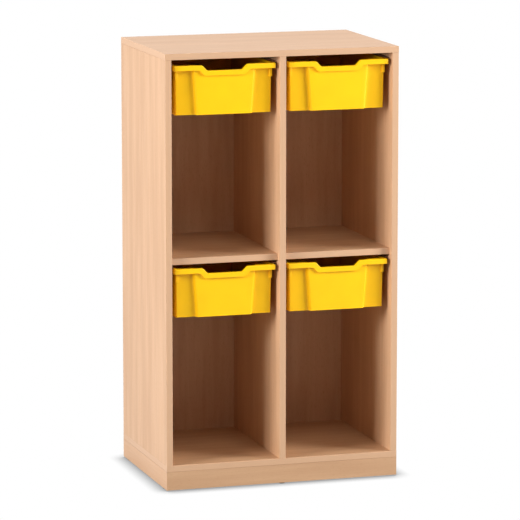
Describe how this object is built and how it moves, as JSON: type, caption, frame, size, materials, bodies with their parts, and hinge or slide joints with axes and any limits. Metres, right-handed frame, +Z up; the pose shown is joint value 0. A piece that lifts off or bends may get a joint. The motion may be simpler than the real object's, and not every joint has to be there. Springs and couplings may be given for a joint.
{
  "type": "school bag shelf",
  "caption": "Free-standing beech decor cabinet on a plinth with open pockets for school bags and a yellow plastic tray that slides on runners at the top of each pocket.",
  "frame": {"origin": "on the floor under the middle of the cabinet", "axes": "+X to the right seen from the front, +Y from front to rear, +Z up"},
  "size_m": [0.72, 0.49, 1.303],
  "materials": {
    "beech_board": "beech decor melamine, satin",
    "back_board": "beech decor melamine, satin",
    "edge_band": "beech decor ABS band",
    "solid_beech": "bare beech",
    "tray": "yellow moulded plastic",
    "runner": "brown extruded plastic",
    "screw": "zinc plated",
    "glide": "grey moulded plastic"
  },
  "bodies": {
    "cabinet": {"back_panel": "back_board", "back_screws": "screw", "bottom_band_front": "edge_band", "bottom_band_left": "edge_band", "bottom_band_rear": "edge_band", "bottom_band_right": "edge_band", "bottom_dowels": "solid_beech", "bottom_panel": "beech_board", "centre_divider": "beech_board", "centre_divider_band": "edge_band", "floor_glides": "glide", "plinth_corner_blocks": "solid_beech", "plinth_front": "beech_board", "plinth_left": "beech_board", "plinth_rear": "beech_board", "plinth_right": "beech_board", "plinth_screws": "screw", "runner_lower_left_left": "runner", "runner_lower_left_right": "runner", "runner_lower_right_left": "runner", "runner_lower_right_right": "runner", "runner_screws": "screw", "runner_upper_left_left": "runner", "runner_upper_left_right": "runner", "runner_upper_right_left": "runner", "runner_upper_right_right": "runner", "shelf_dowels": "solid_beech", "shelf_left": "beech_board", "shelf_left_band": "edge_band", "shelf_right": "beech_board", "shelf_right_band": "edge_band", "side_panel_left": "beech_board", "side_panel_left_band_front": "edge_band", "side_panel_left_band_rear": "edge_band", "side_panel_right": "beech_board", "side_panel_right_band_front": "edge_band", "side_panel_right_band_rear": "edge_band", "top_band_front": "edge_band", "top_band_left": "edge_band", "top_band_rear": "edge_band", "top_band_right": "edge_band", "top_dowels": "solid_beech", "top_panel": "beech_board"},
    "tray_upper_left": {"tray_upper_left": "tray"},
    "tray_upper_right": {"tray_upper_right": "tray"},
    "tray_lower_left": {"tray_lower_left": "tray"},
    "tray_lower_right": {"tray_lower_right": "tray"}
  },
  "joints": [
    {"name": "tray_upper_left_slide", "type": "slide", "parent": "cabinet", "child": "tray_upper_left", "axis": [0, -1, 0], "range_m": [0, 0.28]},
    {"name": "tray_upper_right_slide", "type": "slide", "parent": "cabinet", "child": "tray_upper_right", "axis": [0, -1, 0], "range_m": [0, 0.28]},
    {"name": "tray_lower_left_slide", "type": "slide", "parent": "cabinet", "child": "tray_lower_left", "axis": [0, -1, 0], "range_m": [0, 0.28]},
    {"name": "tray_lower_right_slide", "type": "slide", "parent": "cabinet", "child": "tray_lower_right", "axis": [0, -1, 0], "range_m": [0, 0.28]}
  ]
}
